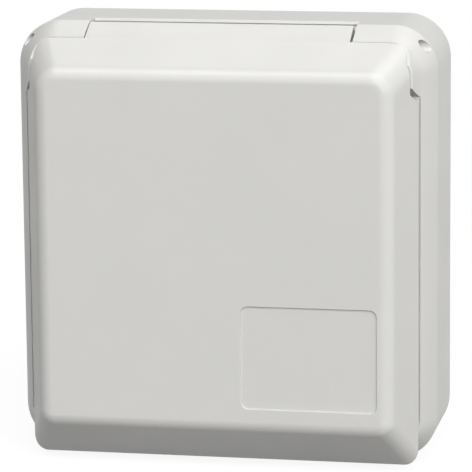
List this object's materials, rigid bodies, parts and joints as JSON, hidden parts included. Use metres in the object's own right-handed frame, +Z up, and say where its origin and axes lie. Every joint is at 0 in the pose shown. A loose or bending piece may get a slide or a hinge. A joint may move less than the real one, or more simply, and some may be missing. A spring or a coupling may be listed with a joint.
{
  "type": "outdoor weatherproof socket",
  "caption": "Surface-mounted weatherproof socket box: a rounded wall box with a sloped frame and a top-hinged sealed lid over a round pin-and-sleeve socket.",
  "frame": {"origin": "centre of the four wall-screw holes on the box's rear face", "axes": "+Y into the wall, +Z up, +X to the right as seen from the front"},
  "size_m": [0.168, 0.0707, 0.176],
  "materials": {
    "housing_plastic": "fine-grained light grey moulding",
    "seal_rubber": "matt black",
    "zinc_steel": "zinc plated",
    "spring_steel": "drawn wire",
    "contact_brass": "turned",
    "collar_plastic": "blue moulding, satin",
    "carrier_plastic": "black moulding, satin"
  },
  "bodies": {
    "housing": {"back_box": "housing_plastic", "front_frame": "housing_plastic", "frame_gasket": "seal_rubber", "frame_screws": "zinc_steel", "column_inserts": "contact_brass", "hinge_rod": "zinc_steel", "lid_spring": "spring_steel", "socket_collar": "collar_plastic", "flange_gasket": "seal_rubber", "flange_screws": "zinc_steel", "contact_carrier": "carrier_plastic", "carrier_base": "collar_plastic", "phase_contact": "contact_brass", "neutral_contact": "contact_brass", "earth_contact": "contact_brass", "contact_clips": "spring_steel", "contact_retainer": "carrier_plastic", "carrier_screws": "zinc_steel", "terminal_screws": "zinc_steel", "entry_grommet": "seal_rubber"},
    "lid": {"lid": "housing_plastic", "lid_gasket": "seal_rubber"}
  },
  "joints": [
    {"name": "lid_hinge", "type": "hinge", "parent": "housing", "child": "lid", "pos_m": [0, -0.0416, 0.0792], "axis": [-1, 0, 0], "range_deg": [0, 90], "stiffness_Nm_per_rad": 0.06, "springref_deg": -28.65, "deforming": ["lid_spring"]}
  ]
}
